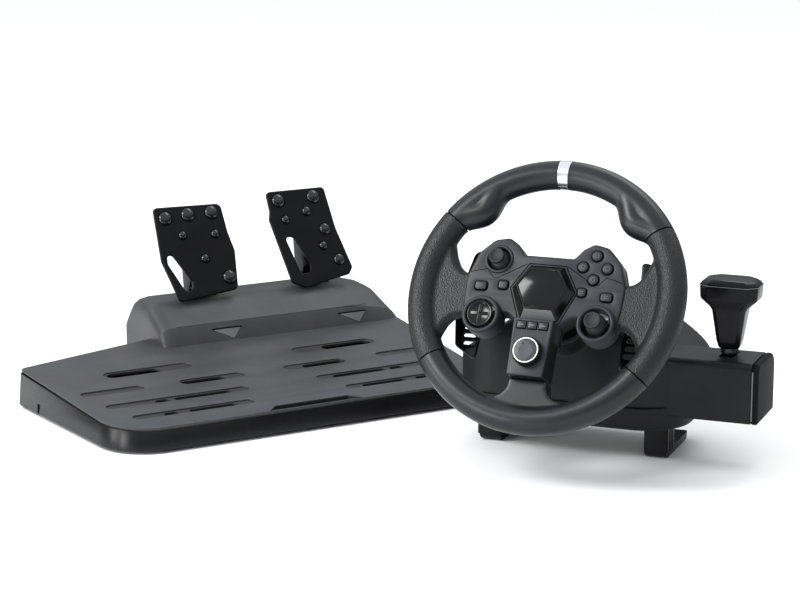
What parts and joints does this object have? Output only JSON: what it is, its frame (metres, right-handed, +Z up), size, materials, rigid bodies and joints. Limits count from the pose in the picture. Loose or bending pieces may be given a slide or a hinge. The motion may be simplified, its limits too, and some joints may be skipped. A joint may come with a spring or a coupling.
{
  "type": "racing wheel",
  "caption": "Table-clamp racing wheel with paddles, control hub and side shifter, and a separate two-pedal floor unit.",
  "frame": {"origin": "centre of the bounding box's bottom face, on the surface that the set stands on", "axes": "+X to the driver's right along the wheel unit, +Y away from the driver, +Z up"},
  "size_m": [0.8065, 0.5692, 0.3032],
  "materials": {
    "cast_aluminium": "as cast",
    "smooth_leather": "smooth satin wrap",
    "grained_leather": "grained, perforated wrap",
    "silver_trim": "satin",
    "textured_black": "fine grained",
    "charcoal_plastic": "fine satin texture",
    "black_plastic": "fine texture",
    "soft_black": "soft touch",
    "deck_plastic": "fine spark texture",
    "gloss_black": "polished",
    "screen": "polished window",
    "knob_grey": "knurled edge",
    "button_black": "satin",
    "painted_pad": "gloss powder coat",
    "steel": "turned",
    "rubber": "matt",
    "circuit_board": "solder resist"
  },
  "bodies": {
    "base": {"base_upper_shell": "charcoal_plastic", "base_lower_shell": "black_plastic", "foot_pads": "rubber", "base_board": "circuit_board", "base_screws": "steel", "encoder_body": "black_plastic", "column_bearings": "steel", "shifter_housing": "charcoal_plastic", "shifter_end_cap": "black_plastic"},
    "wheel": {"wheel_armature": "cast_aluminium", "grip_top_right": "smooth_leather", "grip_top_left": "smooth_leather", "grip_side_right": "grained_leather", "grip_side_left": "grained_leather", "grip_bottom": "smooth_leather", "marker_band": "silver_trim", "spoke_web_right": "textured_black", "spoke_web_left": "textured_black", "hub_front_cover": "charcoal_plastic", "hub_rear_cover": "black_plastic", "hub_board": "circuit_board", "screen_bezel": "gloss_black", "screen_glass": "screen", "console_panel": "charcoal_plastic", "steering_shaft": "steel", "shaft_gear": "steel"},
    "encoder_pinion": {"encoder_pinion": "steel"},
    "knob": {"rotary_knob": "knob_grey"},
    "shifter": {"shifter_lever": "steel", "shifter_knob": "gloss_black"},
    "clamp_left": {"clamp_arm_left": "black_plastic"},
    "clamp_right": {"clamp_arm_right": "black_plastic"},
    "paddle_left": {"paddle_left": "gloss_black"},
    "paddle_right": {"paddle_right": "gloss_black"},
    "pedal_unit": {"pedal_base_cover": "deck_plastic", "pedal_base_plate": "black_plastic", "pedal_feet": "rubber", "pedal_pins": "steel", "return_springs": "steel"},
    "brake": {"brake_arm": "black_plastic", "brake_pad": "painted_pad"},
    "accelerator": {"accelerator_arm": "black_plastic", "accelerator_pad": "painted_pad"},
    "button_up": {"button_up": "button_black"},
    "button_right": {"button_right": "button_black"},
    "button_down": {"button_down": "button_black"},
    "button_left": {"button_left": "button_black"},
    "menu_button_right": {"menu_button_right": "button_black"},
    "mode_button_right": {"mode_button_right": "button_black"},
    "menu_button_left": {"menu_button_left": "button_black"},
    "mode_button_left": {"mode_button_left": "button_black"},
    "row_button_left": {"row_button_left": "button_black"},
    "row_button_middle": {"row_button_middle": "button_black"},
    "row_button_right": {"row_button_right": "button_black"},
    "stick_left_gimbal": {"stick_left_gimbal": "steel"},
    "stick_left": {"stick_left": "soft_black"},
    "stick_right_gimbal": {"stick_right_gimbal": "steel"},
    "stick_right": {"stick_right": "soft_black"},
    "dpad_gimbal": {"dpad_gimbal": "steel"},
    "direction_pad": {"direction_pad": "gloss_black"}
  },
  "joints": [
    {"name": "steering", "type": "hinge", "parent": "base", "child": "wheel", "pos_m": [0.2072, -0.19123, 0.18], "axis": [0, -0.866, 0.5], "range_deg": [-450, 450]},
    {"name": "encoder_spin", "type": "hinge", "parent": "base", "child": "encoder_pinion", "pos_m": [0.2392, -0.0977, 0.126], "axis": [0, -0.866, 0.5], "range_deg": [-1350, 1350]},
    {"name": "knob_turn", "type": "hinge", "parent": "wheel", "child": "knob", "pos_m": [0.2072, -0.24229, 0.13557], "axis": [0, -0.866, 0.5], "continuous": true},
    {"name": "paddle_left_pull", "type": "hinge", "parent": "wheel", "child": "paddle_left", "pos_m": [0.1732, -0.16179, 0.163], "axis": [0, 0.5, 0.866], "range_deg": [0, 5], "stiffness_Nm_per_rad": 0.8, "springref_deg": -14.32},
    {"name": "paddle_right_pull", "type": "hinge", "parent": "wheel", "child": "paddle_right", "pos_m": [0.2412, -0.16179, 0.163], "axis": [0, -0.5, -0.866], "range_deg": [0, 5], "stiffness_Nm_per_rad": 0.8, "springref_deg": -14.32},
    {"name": "button_up_press", "type": "slide", "parent": "wheel", "child": "button_up", "axis": [0, 0.866, -0.5], "range_m": [0, 0.0012], "stiffness_N_per_m": 400, "springref_m": -0.0008},
    {"name": "button_right_press", "type": "slide", "parent": "wheel", "child": "button_right", "axis": [0, 0.866, -0.5], "range_m": [0, 0.0012], "stiffness_N_per_m": 400, "springref_m": -0.0008},
    {"name": "button_down_press", "type": "slide", "parent": "wheel", "child": "button_down", "axis": [0, 0.866, -0.5], "range_m": [0, 0.0012], "stiffness_N_per_m": 400, "springref_m": -0.0008},
    {"name": "button_left_press", "type": "slide", "parent": "wheel", "child": "button_left", "axis": [0, 0.866, -0.5], "range_m": [0, 0.0012], "stiffness_N_per_m": 400, "springref_m": -0.0008},
    {"name": "menu_button_right_press", "type": "slide", "parent": "wheel", "child": "menu_button_right", "axis": [0, 0.866, -0.5], "range_m": [0, 0.0012], "stiffness_N_per_m": 400, "springref_m": -0.0008},
    {"name": "mode_button_right_press", "type": "slide", "parent": "wheel", "child": "mode_button_right", "axis": [0, 0.866, -0.5], "range_m": [0, 0.0012], "stiffness_N_per_m": 400, "springref_m": -0.0008},
    {"name": "menu_button_left_press", "type": "slide", "parent": "wheel", "child": "menu_button_left", "axis": [0, 0.866, -0.5], "range_m": [0, 0.0012], "stiffness_N_per_m": 400, "springref_m": -0.0008},
    {"name": "mode_button_left_press", "type": "slide", "parent": "wheel", "child": "mode_button_left", "axis": [0, 0.866, -0.5], "range_m": [0, 0.0012], "stiffness_N_per_m": 400, "springref_m": -0.0008},
    {"name": "row_button_left_press", "type": "slide", "parent": "wheel", "child": "row_button_left", "axis": [0, 0.866, -0.5], "range_m": [0, 0.001], "stiffness_N_per_m": 400, "springref_m": -0.0008},
    {"name": "row_button_middle_press", "type": "slide", "parent": "wheel", "child": "row_button_middle", "axis": [0, 0.866, -0.5], "range_m": [0, 0.001], "stiffness_N_per_m": 400, "springref_m": -0.0008},
    {"name": "row_button_right_press", "type": "slide", "parent": "wheel", "child": "row_button_right", "axis": [0, 0.866, -0.5], "range_m": [0, 0.001], "stiffness_N_per_m": 400, "springref_m": -0.0008},
    {"name": "stick_left_tilt", "type": "hinge", "parent": "wheel", "child": "stick_left_gimbal", "pos_m": [0.1567, -0.17375, 0.20628], "axis": [1, 0, 0], "range_deg": [-18, 18], "stiffness_Nm_per_rad": 0.08},
    {"name": "stick_left_roll", "type": "hinge", "parent": "stick_left_gimbal", "child": "stick_left", "pos_m": [0.1567, -0.17375, 0.20628], "axis": [0, 0.5, 0.866], "range_deg": [-18, 18], "stiffness_Nm_per_rad": 0.08},
    {"name": "stick_right_tilt", "type": "hinge", "parent": "wheel", "child": "stick_right_gimbal", "pos_m": [0.2652, -0.20733, 0.15812], "axis": [1, 0, 0], "range_deg": [-18, 18], "stiffness_Nm_per_rad": 0.08},
    {"name": "stick_right_roll", "type": "hinge", "parent": "stick_right_gimbal", "child": "stick_right", "pos_m": [0.2652, -0.20733, 0.15812], "axis": [0, 0.5, 0.866], "range_deg": [-18, 18], "stiffness_Nm_per_rad": 0.08},
    {"name": "direction_pad_tilt", "type": "hinge", "parent": "wheel", "child": "dpad_gimbal", "pos_m": [0.1492, -0.21201, 0.16082], "axis": [1, 0, 0], "range_deg": [-6, 6], "stiffness_Nm_per_rad": 0.08},
    {"name": "direction_pad_roll", "type": "hinge", "parent": "dpad_gimbal", "child": "direction_pad", "pos_m": [0.1492, -0.21201, 0.16082], "axis": [0, 0.5, 0.866], "range_deg": [-6, 6], "stiffness_Nm_per_rad": 0.08},
    {"name": "shift", "type": "hinge", "parent": "base", "child": "shifter", "pos_m": [0.3652, -0.08424, 0.08], "axis": [1, 0, 0], "range_deg": [-8, 8], "stiffness_Nm_per_rad": 6},
    {"name": "clamp_left_slide", "type": "slide", "parent": "base", "child": "clamp_left", "axis": [0, 0, 1], "range_m": [-0.02, 0.016]},
    {"name": "clamp_right_slide", "type": "slide", "parent": "base", "child": "clamp_right", "axis": [0, 0, 1], "range_m": [-0.02, 0.016]},
    {"name": "pedal_unit_place", "type": "slide", "parent": "base", "child": "pedal_unit", "axis": [-1, 0, 0], "range_m": [0, 0.3]},
    {"name": "brake_press", "type": "hinge", "parent": "pedal_unit", "child": "brake", "pos_m": [-0.30808, 0.07606, 0.042], "axis": [-0.6157, -0.788, 0], "range_deg": [0, 14], "stiffness_Nm_per_rad": 14, "springref_deg": -11.46},
    {"name": "accelerator_press", "type": "hinge", "parent": "pedal_unit", "child": "accelerator", "pos_m": [-0.21758, 0.1919, 0.042], "axis": [-0.6157, -0.788, 0], "range_deg": [0, 17], "stiffness_Nm_per_rad": 8, "springref_deg": -11.46}
  ],
  "couplings": [
    {"joint": "encoder_spin", "follows": "steering", "ratio": -3}
  ]
}
